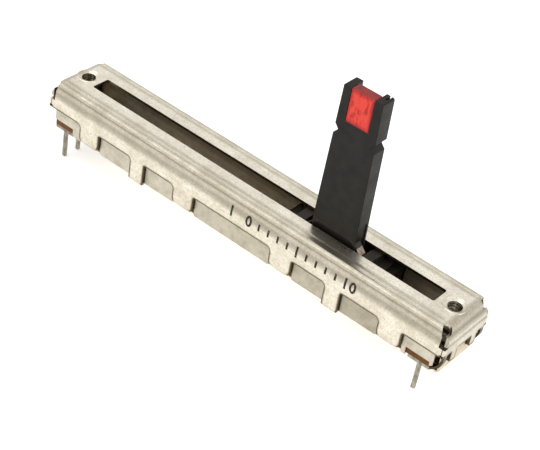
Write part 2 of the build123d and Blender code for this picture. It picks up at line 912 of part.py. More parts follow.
def make_drag_spring():
    """A bowed leaf between the carriage and the cover that gives the lever its feel."""
    crown = ceiling - spring_gap
    seat = carriage_top
    half = spring_length / 2
    outline = [
        Line((-half, seat), (-half, seat + spring_sheet)),
        Line((-half, seat + spring_sheet), (-half + spring_seat, seat + spring_sheet)),
        ThreePointArc((-half + spring_seat, seat + spring_sheet), (0, crown), (half - spring_seat, seat + spring_sheet)),
        Line((half - spring_seat, seat + spring_sheet), (half, seat + spring_sheet)),
        Line((half, seat + spring_sheet), (half, seat)),
        Line((half, seat), (half - spring_seat, seat)),
        ThreePointArc((half - spring_seat, seat), (0, crown - spring_sheet), (-half + spring_seat, seat)),
        Line((-half + spring_seat, seat), (-half, seat)),
    ]
    y = -spring_place
    return extrude_across(Curve() + outline, y - spring_width / 2, y + spring_width / 2)


def at_rest(solid):
    return Pos(lever_rest, 0, 0) * solid


def build():
    """Every node of the part, by name."""
    nodes = {
        "top_cover": make_top_cover(),
        "bottom_tray": make_bottom_tray(),
        "element_board": make_element_board(),
        "resistive_track": make_track(resistive_row, resistive_width),
        "collector_track": make_track(collector_row, collector_width),
        "led_cathode_track": make_track(inner_led_row, led_track_width),
        "led_anode_track": make_track(outer_led_row, led_track_width),
    }
    for name, row, end in eyelet_places():
        nodes["terminal_" + name] = make_terminal(row, end)
        nodes["eyelet_" + name] = make_eyelet(row, end)
    sliding = {
        "carriage": make_carriage(),
        "lever": make_lever(),
        "led_body": make_led_body(),
        "led_chip": make_led_chip(),
        "led_lead_cathode": make_led_lead(-1),
        "led_lead_anode": make_led_lead(1),
        "wiper": make_wiper(),
        "led_brush_cathode": make_led_brush(-1, inner_led_row),
        "led_brush_anode": make_led_brush(1, outer_led_row),
        "drag_spring": make_drag_spring(),
    }
    for name, solid in sliding.items():
        nodes[name] = at_rest(solid)
    return nodes


os.makedirs("parts", exist_ok=True)
for node_name, node_shape in build().items():
    export_step(node_shape, f"parts/{node_name}.step")
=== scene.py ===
import math

import bmesh
import bpy
from mathutils import Matrix, Vector


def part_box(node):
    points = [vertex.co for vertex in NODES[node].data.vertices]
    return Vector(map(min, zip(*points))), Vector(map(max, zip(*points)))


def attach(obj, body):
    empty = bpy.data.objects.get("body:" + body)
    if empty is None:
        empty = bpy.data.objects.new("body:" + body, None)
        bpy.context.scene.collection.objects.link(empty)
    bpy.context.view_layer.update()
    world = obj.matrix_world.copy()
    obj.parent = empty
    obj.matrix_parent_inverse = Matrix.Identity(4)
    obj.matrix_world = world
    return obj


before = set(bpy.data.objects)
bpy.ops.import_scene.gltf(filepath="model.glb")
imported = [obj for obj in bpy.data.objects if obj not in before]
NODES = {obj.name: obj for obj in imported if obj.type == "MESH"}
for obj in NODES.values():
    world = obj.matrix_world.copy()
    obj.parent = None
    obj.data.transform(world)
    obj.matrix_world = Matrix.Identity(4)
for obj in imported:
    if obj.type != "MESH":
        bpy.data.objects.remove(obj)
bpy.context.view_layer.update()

bl_info = {
    "name": "Slide potentiometer looks",
    "version": (1, 1, 0),
    "blender": (4, 5, 0),
    "location": "View3D > Sidebar > Slide pot",
    "description": "Finishes, threads, rings, tray end, scale and stage of a slide potentiometer",
    "category": "Object",
}

MM = 0.001
PICTURE_WIDTH = 540
SENSOR_WIDTH = 36.0

# Places on the cover and the board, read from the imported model
COVER_LOW, COVER_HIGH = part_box("top_cover")
COVER_TOP = COVER_HIGH[2]
COVER_FRONT = COVER_LOW[1]
BOARD_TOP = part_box("element_board")[1][2]

# From the middle of the cover to the axis of a tapped hole
HOLE_REACH = 40.0 * MM

# Nearly all values of a noise lie in this range
NOISE_RANGE = {"From Min": 0.3, "From Max": 0.7}


# Small tools


def linear(hex_colour):
    """Turn an sRGB hex colour into the linear values that Blender works in."""
    values = []
    for start in (0, 2, 4):
        value = int(hex_colour[start:start + 2], 16) / 255
        values.append(value / 12.92 if value <= 0.04045 else ((value + 0.055) / 1.055) ** 2.4)
    return (*values, 1.0)


def add_node(tree, kind, settings=None, inputs=None, stops=()):
    """Add a node with its settings, the value or link of each input, and a colour ramp's stops."""
    node = tree.nodes.new(kind)
    for name, value in (settings or {}).items():
        setattr(node, name, value)
    for name, value in (inputs or {}).items():
        if isinstance(value, bpy.types.NodeSocket):
            tree.links.new(value, node.inputs[name])
        else:
            node.inputs[name].default_value = value
    for index, (position, colour) in enumerate(stops):
        elements = node.color_ramp.elements
        element = elements[index] if index < len(elements) else elements.new(position)
        element.position = position
        element.color = linear(colour)
    return node


def new_material(name):
    """An empty node material."""
    material = bpy.data.materials.new(name)
    material.use_nodes = True
    material.node_tree.nodes.clear()
    return material, material.node_tree


def dress(names, material):
    """Give CAD nodes a material."""
    for name in names:
        mesh = NODES[name].data
        mesh.materials.clear()
        mesh.materials.append(material)


def deselect_all():
    """Leave nothing selected, as the loaded nodes start out selected."""
    bpy.ops.object.select_all(action="DESELECT")


def make_active(*pieces):
    """Select these pieces alone and make the first one active."""
    deselect_all()
    for piece in pieces:
        piece.select_set(True)
    bpy.context.view_layer.objects.active = pieces[0]


def apply_modifiers(piece):
    """Apply every modifier of a piece, in order."""
    make_active(piece)
    for name in [modifier.name for modifier in piece.modifiers]:
        bpy.ops.object.modifier_apply(modifier=name)


def settle(piece, name, material):
    """Apply a piece's place to its mesh, then name it, dress it and say what it rides on."""
    make_active(piece)
    bpy.ops.object.transform_apply(location=True, rotation=True, scale=True)
    piece.name = name
    piece.data.name = name
    piece.data.materials.clear()
    piece.data.materials.append(material)
    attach(piece, "housing")


def copy_to_left_hole(piece):
    """Copy a piece of the right-hand hole, with a mesh of its own, to the left-hand one."""
    other = piece.copy()
    other.data = piece.data.copy()
    bpy.context.collection.objects.link(other)
    other.location.x -= 2 * HOLE_REACH
    return other


def select_edges(piece, wanted):
    """In edit mode, select only the edges whose middle passes a test."""
    bpy.ops.mesh.select_all(action="DESELECT")
    shape = bmesh.from_edit_mesh(piece.data)
    for edge in shape.edges:
        if wanted((edge.verts[0].co + edge.verts[1].co) / 2):
            edge.select_set(True)
    bmesh.update_edit_mesh(piece.data)


def end_material(tree, height, relief, values):
    """End a material with its relief, its shader and its output."""
    bumped = add_node(tree, "ShaderNodeBump", inputs={
        "Height": height, "Distance": relief, "Strength": 1.0}).outputs["Normal"]
    shader = add_node(tree, "ShaderNodeBsdfPrincipled", inputs={**values, "Normal": bumped})
    add_node(tree, "ShaderNodeOutputMaterial", inputs={"Surface": shader.outputs["BSDF"]})


def seen_directly(tree):
    """Give 1 to rays of the camera, of mirrors and of glass, and 0 to all others."""
    path = add_node(tree, "ShaderNodeLightPath")
    seen = add_node(tree, "ShaderNodeMath", {"operation": "MAXIMUM"}, {
        0: path.outputs["Is Camera Ray"], 1: path.outputs["Is Glossy Ray"]}).outputs[0]
    return add_node(tree, "ShaderNodeMath", {"operation": "MAXIMUM"}, {
        0: seen, 1: path.outputs["Is Transmission Ray"]}).outputs[0]


# Sizes and colours that a user would change


class SLIDEPOT_PG_colours(bpy.types.PropertyGroup):
    """Colours of the materials and the floor"""

    cover: bpy.props.StringProperty(
        name="Cover", description="Tinned cover at its palest, sRGB hex", default="FAF5E8")
    tray: bpy.props.StringProperty(
        name="Tray", description="Duller tinned tray, sRGB hex", default="D2CCBE")
    laminate: bpy.props.StringProperty(
        name="Laminate", description="Brown board, sRGB hex", default="8C5C1E")
    moulding: bpy.props.StringProperty(
        name="Lever", description="Black acetal of the lever, sRGB hex", default="1B1711")
    # Lighter than the lever's black: painted light that lifts the carriage in the shade under the
    # cover
    carriage: bpy.props.StringProperty(
        name="Carriage", description="Black nylon of the carriage, sRGB hex", default="2E2A23")
    resin: bpy.props.StringProperty(
        name="Light", description="Red resin of the light, sRGB hex", default="FF4430")
    ink: bpy.props.StringProperty(
        name="Ink", description="Printed scale, sRGB hex", default="2E2B26")
    floor: bpy.props.StringProperty(
        name="Floor", description="Floor under the part, sRGB hex", default="FBFBFA")


class SLIDEPOT_PG_sizes(bpy.types.PropertyGroup):
    """Sizes of the scale, the threads and the hole rings"""

    mark_height: bpy.props.FloatProperty(
        name="Mark height", description="Height of a long mark or a figure",
        default=2.1 * MM, unit="LENGTH")
    mark_stroke: bpy.props.FloatProperty(
        name="Mark stroke", description="Width of a printed stroke",
        default=0.4 * MM, unit="LENGTH")
    mark_pitch: bpy.props.FloatProperty(
        name="Mark pitch", description="Distance from one mark of the scale to the next",
        default=2.0 * MM, unit="LENGTH")
    thread_pitch: bpy.props.FloatProperty(
        name="Thread pitch", description="Rise of the thread in one turn",
        default=0.5 * MM, unit="LENGTH")
    thread_crest: bpy.props.FloatProperty(
        name="Thread crest", description="Radius at the crest of the thread",
        default=1.12 * MM, unit="LENGTH")
    thread_root: bpy.props.FloatProperty(
        name="Thread root", description="Radius where the thread meets the hole's wall",
        default=1.28 * MM, unit="LENGTH")
    ring_radius: bpy.props.FloatProperty(
        name="Hole ring", description="Radius of the raised ring round a hole",
        default=1.95 * MM, unit="LENGTH")
    ring_height: bpy.props.FloatProperty(
        name="Ring height", description="Height of the raised ring",
        default=0.09 * MM, unit="LENGTH")


class SLIDEPOT_PG_stage(bpy.types.PropertyGroup):
    """The camera's place and the strength of the lights"""

    focal_pixels: bpy.props.FloatProperty(
        name="Focal length", description="Camera's focal length in picture pixels", default=1498.56)
    azimuth: bpy.props.FloatProperty(
        name="Azimuth", description="Camera's turn to the right",
        default=math.radians(33.5), subtype="ANGLE")
    elevation: bpy.props.FloatProperty(
        name="Elevation", description="Camera's height angle",
        default=math.radians(37.64), subtype="ANGLE")
    roll: bpy.props.FloatProperty(
        name="Roll", description="Camera's tilt", default=math.radians(10.6), subtype="ANGLE")
    camera_place: bpy.props.FloatVectorProperty(
        name="Camera", description="Camera's place",
        default=(0.1132, -0.16554, 0.16181), subtype="TRANSLATION")
    world_level: bpy.props.FloatProperty(
        name="Room light", description="Even light from all round", default=0.62, min=0)
    main_power: bpy.props.FloatProperty(
        name="Main light", description="Power of the large soft light", default=3.4, unit="POWER")
    side_power: bpy.props.FloatProperty(
        name="Side light", description="Power of the soft light on the right",
        default=2.2, unit="POWER")


def colours():
    """The colours set in the panel."""
    return bpy.context.scene.slidepot_colours


def sizes():
    """The sizes set in the panel."""
    return bpy.context.scene.slidepot_sizes


def stage_settings():
    """The camera and lights set in the panel."""
    return bpy.context.scene.slidepot_stage


# Materials


def tin_plated_cover_sheet(colour):
    """Pressed tin-plated steel, with painted highlights along the folds and painted shade in the
    dips behind them.
    """
    # Where its features lie: out from the middle, along the cover, or down from its top
    side_fold, end_fold, fold_length = 3.5 * MM, 41.0 * MM, 8.0 * MM
    end_begins, end_full, end_half_width = 40.6 * MM, 41.7 * MM, 5.3 * MM
    slot_reach, slot_half_width = 38.0 * MM, 2.1 * MM
    cut_begins, cut_full = 0.04 * MM, 0.12 * MM
    tabs_begin = 4.9 * MM
    material, tree = new_material("tin_plated_cover_sheet")
    place = add_node(tree, "ShaderNodeTexCoord").outputs["Object"]
    axes = add_node(tree, "ShaderNodeSeparateXYZ", inputs={"Vector": place})
    across = add_node(tree, "ShaderNodeMath", {"operation": "ABSOLUTE"}, {
        0: axes.outputs["Y"]}).outputs[0]
    along = add_node(tree, "ShaderNodeMath", {"operation": "ABSOLUTE"}, {
        0: axes.outputs["X"]}).outputs[0]
    drop = add_node(tree, "ShaderNodeMath", {"operation": "SUBTRACT"}, {
        0: COVER_TOP, 1: axes.outputs["Z"]}).outputs[0]
    # The way over a fold, from the middle of the top down the flange
    side_way = add_node(tree, "ShaderNodeMath", {"operation": "ADD"}, {
        0: across, 1: drop}).outputs[0]
    end_way = add_node(tree, "ShaderNodeMath", {"operation": "ADD"}, {0: along, 1: drop}).outputs[0]
    side_share = add_node(tree, "ShaderNodeMapRange", inputs={
        "Value": side_way, "From Min": side_fold,
        "From Max": side_fold + fold_length}).outputs["Result"]
    end_share = add_node(tree, "ShaderNodeMapRange", inputs={
        "Value": end_way, "From Min": end_fold,
        "From Max": end_fold + fold_length}).outputs["Result"]
    # Painted shade, highlights and reflections: one grey for each feature that the way passes, top,
    # rim, bend and its far side, bead, dip, slope and flange; the grey named worn is a painted
    # highlight
    pale, bright, worn, dull, half_shaded_grey, shaded_grey, dark = (
        "FFFFFF", "F4F3F0", "E4E2DC", "D4D2CC", "C2C0BB", "B6B4AE", "9A978F")
    side_painted_light = add_node(tree, "ShaderNodeValToRGB", inputs={"Fac": side_share}, stops=(
        (0.00, pale), (0.09, dull), (0.15, bright), (0.27, shaded_grey), (0.33, worn), (0.40, shaded_grey),
        (0.49, dull), (0.58, shaded_grey), (0.67, half_shaded_grey), (0.77, bright))).outputs["Color"]
    end_painted_light = add_node(tree, "ShaderNodeValToRGB", inputs={"Fac": end_share}, stops=(
        (0.00, pale), (0.05, dull), (0.35, half_shaded_grey), (0.43, dark), (0.60, bright), (0.67, shaded_grey),
        (0.78, worn))).outputs["Color"]
    past_end = add_node(tree, "ShaderNodeMapRange", inputs={
        "Value": along, "From Min": end_begins, "From Max": end_full}).outputs["Result"]
    off_side = add_node(tree, "ShaderNodeMath", {"operation": "LESS_THAN"}, {
        0: across, 1: end_half_width}).outputs[0]
    on_end = add_node(tree, "ShaderNodeMath", {"operation": "MULTIPLY"}, {
        0: past_end, 1: off_side}).outputs[0]
    fold_painted_light = add_node(tree, "ShaderNodeMixRGB", inputs={
        "Fac": on_end, "Color1": side_painted_light, "Color2": end_painted_light}).outputs[0]
    # Plating clouds a few millimetres across and rolling lines about 0.3 mm apart along the sheet
    cloud = add_node(tree, "ShaderNodeTexNoise", inputs={
        "Vector": place, "Scale": 1 / (3.5 * MM), "Detail": 5.0, "Roughness": 0.6}).outputs["Fac"]
    rolled = add_node(tree, "ShaderNodeMapping", inputs={
        "Vector": place, "Scale": (0.06, 1, 1)}).outputs["Vector"]
    lines = add_node(tree, "ShaderNodeTexNoise", inputs={
        "Vector": rolled, "Scale": 1 / (0.3 * MM), "Detail": 4.0, "Roughness": 0.7}).outputs["Fac"]
    clouded = add_node(tree, "ShaderNodeValToRGB", inputs={"Fac": cloud}, stops=(
        (0.34, "EAE7E2"), (0.66, "FFFFFF"))).outputs["Color"]
    lined = add_node(tree, "ShaderNodeValToRGB", inputs={"Fac": lines}, stops=(
        (0.30, "F1EFEC"), (0.60, "FFFFFF"))).outputs["Color"]
    # Grain and a few pits, drawn about 0.35 mm across, coarser than real ones, so that they show
    grain = add_node(tree, "ShaderNodeTexNoise", inputs={
        "Vector": place, "Scale": 1 / (0.35 * MM), "Detail": 2.0}).outputs["Fac"]
    pitted = add_node(tree, "ShaderNodeValToRGB", inputs={"Fac": grain}, stops=(
        (0.21, "9C9282"), (0.26, "E6E3DD"), (0.62, "FFFFFF"))).outputs["Color"]
    # Painted shade in the corners between tabs, slits and walls
    shelter = add_node(tree, "ShaderNodeAmbientOcclusion", {"samples": 8}, {
        "Distance": 0.7 * MM}).outputs["AO"]
    corner_painted_shade = add_node(tree, "ShaderNodeValToRGB", inputs={"Fac": shelter}, stops=(
        (0.30, "5A5142"), (0.62, "D9D5CD"), (0.80, "FFFFFF"))).outputs["Color"]
    # Cut edges of the flange and its tabs, darkened: partly bare cut edges, partly a painted shadow
    # line
    inward = add_node(tree, "ShaderNodeAmbientOcclusion", {"samples": 12, "inside": True}, {
        "Distance": 0.48 * MM})
    low_down = add_node(tree, "ShaderNodeMath", {"operation": "LESS_THAN"}, {
        0: drop, 1: tabs_begin}).outputs[0]
    sound = add_node(tree, "ShaderNodeMath", {"operation": "MAXIMUM"}, {
        0: inward.outputs["AO"], 1: low_down}).outputs[0]
    edged = add_node(tree, "ShaderNodeValToRGB", inputs={"Fac": sound}, stops=(
        (0.55, "4E4739"), (0.78, "A9A396"), (0.95, "FFFFFF"))).outputs["Color"]
    # Painted shade on the slot's cut faces
    cut_through = add_node(tree, "ShaderNodeMapRange", inputs={
        "Value": drop, "From Min": cut_begins, "From Max": cut_full}).outputs["Result"]
    near_middle = add_node(tree, "ShaderNodeMath", {"operation": "LESS_THAN"}, {
        0: across, 1: slot_half_width}).outputs[0]
    off_holes = add_node(tree, "ShaderNodeMath", {"operation": "LESS_THAN"}, {
        0: along, 1: slot_reach}).outputs[0]
    in_slot = add_node(tree, "ShaderNodeMath", {"operation": "MULTIPLY"}, {
        0: near_middle, 1: off_holes}).outputs[0]
    slot_shade_share = add_node(tree, "ShaderNodeMath", {"operation": "MULTIPLY"}, {
        0: in_slot, 1: cut_through}).outputs[0]
    painted_shade_coat = add_node(tree, "ShaderNodeMixRGB", inputs={
        "Fac": slot_shade_share, "Color1": linear("FFFFFF"), "Color2": linear("8E8674")}).outputs[0]
    shade = linear(colour)
    for layer in (fold_painted_light, clouded, lined, pitted, corner_painted_shade, edged, painted_shade_coat):
        shade = add_node(tree, "ShaderNodeMixRGB", {"blend_type": "MULTIPLY"}, {
            "Fac": 1.0, "Color1": shade, "Color2": layer}).outputs[0]
    rough = add_node(tree, "ShaderNodeMapRange", inputs={
        "Value": cloud, **NOISE_RANGE, "To Min": 0.34, "To Max": 0.24}).outputs["Result"]
    height = add_node(tree, "ShaderNodeMath", {"operation": "MULTIPLY_ADD"}, {
        0: lines, 1: 0.4, 2: cloud}).outputs[0]
    end_material(tree, height, 0.02 * MM, {
        "Base Color": shade, "Metallic": 1.0, "Roughness": rough})
    return material


def tin_plated_tray_sheet(colour):
    """Tin-plated steel as rolled: duller and browner than the cover, with painted shade along gaps
    and on the inner walls.
    """
    # Where its features lie: out from the middle, along the tray, or above the ground
    outside = 5.3 * MM
    shade_darkest_at, shade_faded_at = -42 * MM, -22 * MM
    cover_shadow_begins, cover_shadow_full = 10.5 * MM, 12.2 * MM
    dull_begins, dull_full = -25 * MM, 45 * MM
    material, tree = new_material("tin_plated_tray_sheet")
    place = add_node(tree, "ShaderNodeTexCoord").outputs["Object"]
    # Water stains 1 to 3 mm across
    stains = add_node(tree, "ShaderNodeTexNoise", inputs={
        "Vector": place, "Scale": 1 / (1.6 * MM), "Detail": 5.0, "Roughness": 0.65}).outputs["Fac"]
    stained = add_node(tree, "ShaderNodeValToRGB", inputs={"Fac": stains}, stops=(
        (0.30, "E2DFD8"), (0.55, "F8F7F4"), (0.70, "FFFFFF"))).outputs["Color"]
    # Painted shade: a dark line where the cover's edge lies on it
    shelter = add_node(tree, "ShaderNodeAmbientOcclusion", {"samples": 12}, {
        "Distance": 0.45 * MM}).outputs["AO"]
    lined = add_node(tree, "ShaderNodeValToRGB", inputs={"Fac": shelter}, stops=(
        (0.40, "3D352A"), (0.66, "8E877A"), (0.84, "FFFFFF"))).outputs["Color"]
    # Painted shade on the inner walls, darkest towards the left end, with a painted shadow of the
    # cover along their top
    axes = add_node(tree, "ShaderNodeSeparateXYZ", inputs={"Vector": place})
    across = add_node(tree, "ShaderNodeMath", {"operation": "ABSOLUTE"}, {
        0: axes.outputs["Y"]}).outputs[0]
    outer_face = add_node(tree, "ShaderNodeMath", {"operation": "GREATER_THAN"}, {
        0: across, 1: outside}).outputs[0]
    from_left = add_node(tree, "ShaderNodeMapRange", inputs={
        "Value": axes.outputs["X"], "From Min": shade_darkest_at, "From Max": shade_faded_at}).outputs["Result"]
    inner_wall_shade = add_node(tree, "ShaderNodeValToRGB", inputs={"Fac": from_left}, stops=(
        (0.0, "837459"), (0.25, "A08F72"), (0.45, "DDD2BE"), (1.0, "FFF4E2"))).outputs["Color"]
    upward = add_node(tree, "ShaderNodeMapRange", inputs={
        "Value": axes.outputs["Z"], "From Min": cover_shadow_begins,
        "From Max": cover_shadow_full}).outputs["Result"]
    cover_shadow_on_wall = add_node(tree, "ShaderNodeValToRGB", inputs={"Fac": upward}, stops=(
        (0.15, "FFFFFF"), (0.53, "DCD9D2"), (0.82, "DCD9D2"), (0.97, "BAB6AC"))).outputs["Color"]
    inner_wall_shade = add_node(tree, "ShaderNodeMixRGB", {"blend_type": "MULTIPLY"}, {
        "Fac": 1.0, "Color1": inner_wall_shade, "Color2": cover_shadow_on_wall}).outputs[0]
    shade = add_node(tree, "ShaderNodeMixRGB", inputs={
        "Fac": outer_face, "Color1": inner_wall_shade, "Color2": linear(colour)}).outputs[0]
    # Darker over the right-hand panels, except the last, and on the folded end
    to_right = add_node(tree, "ShaderNodeMapRange", inputs={
        "Value": axes.outputs["X"], "From Min": dull_begins,
        "From Max": dull_full}).outputs["Result"]
    right_darkening = add_node(tree, "ShaderNodeValToRGB", inputs={"Fac": to_right}, stops=(
        (0.0, "FFFFFF"), (0.464, "F2F1EE"), (0.789, "DFDDD8"), (0.845, "FFFFFF"), (0.953, "FFFFFF"),
        (0.958, "DEDBD5"))).outputs["Color"]
    for layer in (stained, lined, right_darkening):
        shade = add_node(tree, "ShaderNodeMixRGB", {"blend_type": "MULTIPLY"}, {
            "Fac": 1.0, "Color1": shade, "Color2": layer}).outputs[0]
    rough = add_node(tree, "ShaderNodeMapRange", inputs={
        "Value": stains, **NOISE_RANGE, "To Min": 0.62, "To Max": 0.48}).outputs["Result"]
    end_material(tree, stains, 0.02 * MM, {
        "Base Color": shade, "Metallic": 1.0, "Roughness": rough})
    return material


def tapped_steel():
    """Steel cut by a tap: bright, as the plating is gone, with tool lines along the thread."""
    material, tree = new_material("tapped_steel")
    place = add_node(tree, "ShaderNodeTexCoord").outputs["Object"]
    # Tool lines about 0.1 mm apart, one above the other
    lying = add_node(tree, "ShaderNodeMapping", inputs={
        "Vector": place, "Scale": (0.1, 0.1, 1)}).outputs["Vector"]
    lines = add_node(tree, "ShaderNodeTexNoise", inputs={
        "Vector": lying, "Scale": 1 / (0.1 * MM), "Detail": 2.0}).outputs["Fac"]
    shade = add_node(tree, "ShaderNodeValToRGB", inputs={"Fac": lines}, stops=(
        (0.35, "C4BDAE"), (0.65, "F4EFE4"))).outputs["Color"]
    shader = add_node(tree, "ShaderNodeBsdfPrincipled", inputs={
        "Base Color": shade, "Metallic": 1.0, "Roughness": 0.32})
    add_node(tree, "ShaderNodeOutputMaterial", inputs={"Surface": shader.outputs["BSDF"]})
    return material


def phenolic_paper_laminate(colour):
    """Punched phenolic paper laminate: warm brown resin, darker fibres, with painted shade on top.
    """
    material, tree = new_material("phenolic_paper_laminate")
    place = add_node(tree, "ShaderNodeTexCoord").outputs["Object"]
    # Paper fibres about 0.4 mm wide along the board, and its paper layers 0.15 mm apart in the edge
    lying = add_node(tree, "ShaderNodeMapping", inputs={
        "Vector": place, "Scale": (0.25, 1, 2.6)}).outputs["Vector"]
    fibres = add_node(tree, "ShaderNodeTexNoise", inputs={
        "Vector": lying, "Scale": 1 / (0.4 * MM), "Detail": 5.0, "Roughness": 0.65}).outputs["Fac"]
    brown = add_node(tree, "ShaderNodeValToRGB", inputs={"Fac": fibres}, stops=(
        (0.30, "8C8076"), (0.68, "FFFFFF"))).outputs["Color"]
    # Painted shade on the upper face, inside the case
    height = add_node(tree, "ShaderNodeSeparateXYZ", inputs={"Vector": place}).outputs["Z"]
    upper = add_node(tree, "ShaderNodeMapRange", inputs={
        "Value": height, "From Min": BOARD_TOP - 0.03 * MM,
        "From Max": BOARD_TOP - 0.01 * MM}).outputs["Result"]
    painted_shade_coat = add_node(tree, "ShaderNodeMixRGB", inputs={
        "Fac": upper, "Color1": linear("FFFFFF"), "Color2": linear("5E5850")}).outputs[0]
    hollow = add_node(tree, "ShaderNodeAmbientOcclusion", {"samples": 12}, {
        "Distance": 0.5 * MM}).outputs["AO"]
    shadowed = add_node(tree, "ShaderNodeValToRGB", inputs={"Fac": hollow}, stops=(
        (0.15, "4A4238"), (0.55, "FFFFFF"))).outputs["Color"]
    shade = linear(colour)
    for layer in (brown, painted_shade_coat, shadowed):
        shade = add_node(tree, "ShaderNodeMixRGB", {"blend_type": "MULTIPLY"}, {
            "Fac": 1.0, "Color1": shade, "Color2": layer}).outputs[0]
    rough = add_node(tree, "ShaderNodeMapRange", inputs={
        "Value": fibres, **NOISE_RANGE, "To Min": 0.62, "To Max": 0.45}).outputs["Result"]
    end_material(tree, fibres, 0.03 * MM, {
        "Base Color": shade, "Roughness": rough, "IOR": 1.6, "Specular IOR Level": 0.2})
    return material


def printed_film(name, low, high, metallic, rough):
    """Screen-printed film: fine grains of carbon or silver in a resin binder, slightly rough."""
    material, tree = new_material(name)
    place = add_node(tree, "ShaderNodeTexCoord").outputs["Object"]
    # Grains drawn about 0.12 mm across, coarser than real ones, so that they show
    grains = add_node(tree, "ShaderNodeTexNoise", inputs={
        "Vector": place, "Scale": 1 / (0.12 * MM), "Detail": 3.0}).outputs["Fac"]
    shade = add_node(tree, "ShaderNodeValToRGB", inputs={"Fac": grains}, stops=(
        (0.35, low), (0.65, high))).outputs["Color"]
    end_material(tree, grains, 0.004 * MM, {
        "Base Color": shade, "Metallic": metallic, "Roughness": rough})
    return material


def dipped_strip(name, pale, dark, rough):
    """Punched strip, dipped in tin or bare: bright, slightly wavy, dark where flux dried."""
    material, tree = new_material(name)
    place = add_node(tree, "ShaderNodeTexCoord").outputs["Object"]
    # Waves about 0.8 mm long that run down the strip
    run_down = add_node(tree, "ShaderNodeMapping", inputs={
        "Vector": place, "Scale": (1, 1, 0.4)}).outputs["Vector"]
    waves = add_node(tree, "ShaderNodeTexNoise", inputs={
        "Vector": run_down, "Scale": 1 / (0.8 * MM), "Detail": 3.0}).outputs["Fac"]
    shade = add_node(tree, "ShaderNodeValToRGB", inputs={"Fac": waves}, stops=(
        (0.34, dark), (0.64, pale))).outputs["Color"]
    level = add_node(tree, "ShaderNodeMapRange", inputs={
        "Value": waves, **NOISE_RANGE, "To Min": rough + 0.1, "To Max": rough - 0.06})
    end_material(tree, waves, 0.03 * MM, {
        "Base Color": shade, "Metallic": 1.0, "Roughness": level.outputs["Result"]})
    return material


def lead_ribbon_shaded_above_cover():
    """Tinned copper ribbon: pinkish where the tin is thin, black near the lever with painted shade.
    """
    material, tree = new_material("tinned_copper_ribbon")
    place = add_node(tree, "ShaderNodeTexCoord").outputs["Object"]
    height = add_node(tree, "ShaderNodeSeparateXYZ", inputs={"Vector": place}).outputs["Z"]
    # Thin tin in patches about 0.5 mm across
    patches = add_node(tree, "ShaderNodeTexNoise", inputs={
        "Vector": place, "Scale": 1 / (0.5 * MM), "Detail": 2.0}).outputs["Fac"]
    tin = add_node(tree, "ShaderNodeValToRGB", inputs={"Fac": patches}, stops=(
        (0.40, "8C6860"), (0.58, "99938A"))).outputs["Color"]
    # Painted shade, black where the ribbon stands above the cover, with a ragged border
    ragged = add_node(tree, "ShaderNodeMath", {"operation": "MULTIPLY_ADD"}, {
        0: patches, 1: 0.3 * MM, 2: height}).outputs[0]
    above_cover_shade = add_node(tree, "ShaderNodeMapRange", inputs={
        "Value": ragged, "From Min": COVER_TOP - 0.02 * MM,
        "From Max": COVER_TOP + 0.06 * MM}).outputs["Result"]
    shade = add_node(tree, "ShaderNodeMixRGB", inputs={
        "Fac": above_cover_shade, "Color1": tin, "Color2": linear("1B1711")}).outputs[0]
    bare = add_node(tree, "ShaderNodeMath", {"operation": "SUBTRACT"}, {
        0: 1.0, 1: above_cover_shade}).outputs[0]
    rough = add_node(tree, "ShaderNodeMapRange", inputs={
        "Value": above_cover_shade, "To Min": 0.32, "To Max": 0.6}).outputs["Result"]
    end_material(tree, patches, 0.02 * MM, {
        "Base Color": shade, "Metallic": bare, "Roughness": rough})
    return material


def moulded_black_plastic(name, colour):
    """Moulded black acetal or nylon: fine spark-eroded grain, waxy shine, edges rubbed paler."""
    material, tree = new_material(name)
    place = add_node(tree, "ShaderNodeTexCoord").outputs["Object"]
    # Flow marks about 2 mm across and a spark-eroded grain drawn at 0.14 mm so that it shows
    flow = add_node(tree, "ShaderNodeTexNoise", inputs={
        "Vector": place, "Scale": 1 / (2.0 * MM), "Detail": 3.0}).outputs["Fac"]
    grain = add_node(tree, "ShaderNodeTexNoise", inputs={
        "Vector": place, "Scale": 1 / (0.14 * MM), "Detail": 2.0}).outputs["Fac"]
    flowed = add_node(tree, "ShaderNodeValToRGB", inputs={"Fac": flow}, stops=(
        (0.30, "C9C2BA"), (0.70, "FFFFFF"))).outputs["Color"]
    shade = add_node(tree, "ShaderNodeMixRGB", {"blend_type": "MULTIPLY"}, {
        "Fac": 1.0, "Color1": linear(colour), "Color2": flowed}).outputs[0]
    # Rubbed edges are found as places from which the inside is soon left
    edge = add_node(tree, "ShaderNodeAmbientOcclusion", {"samples": 6, "inside": True}, {
        "Distance": 0.12 * MM}).outputs["AO"]
    worn = add_node(tree, "ShaderNodeMapRange", inputs={
        "Value": edge, "From Min": 0.5, "From Max": 0.9, "To Min": 0.4,
        "To Max": 0.0}).outputs["Result"]
    shade = add_node(tree, "ShaderNodeMixRGB", inputs={
        "Fac": worn, "Color1": shade, "Color2": linear("5E574C")}).outputs[0]
    rough = add_node(tree, "ShaderNodeMapRange", inputs={
        "Value": flow, **NOISE_RANGE, "To Min": 0.58, "To Max": 0.46}).outputs["Result"]
    end_material(tree, grain, 0.008 * MM, {
        "Base Color": shade, "Roughness": rough, "IOR": 1.48, "Specular IOR Level": 0.27})
    return material


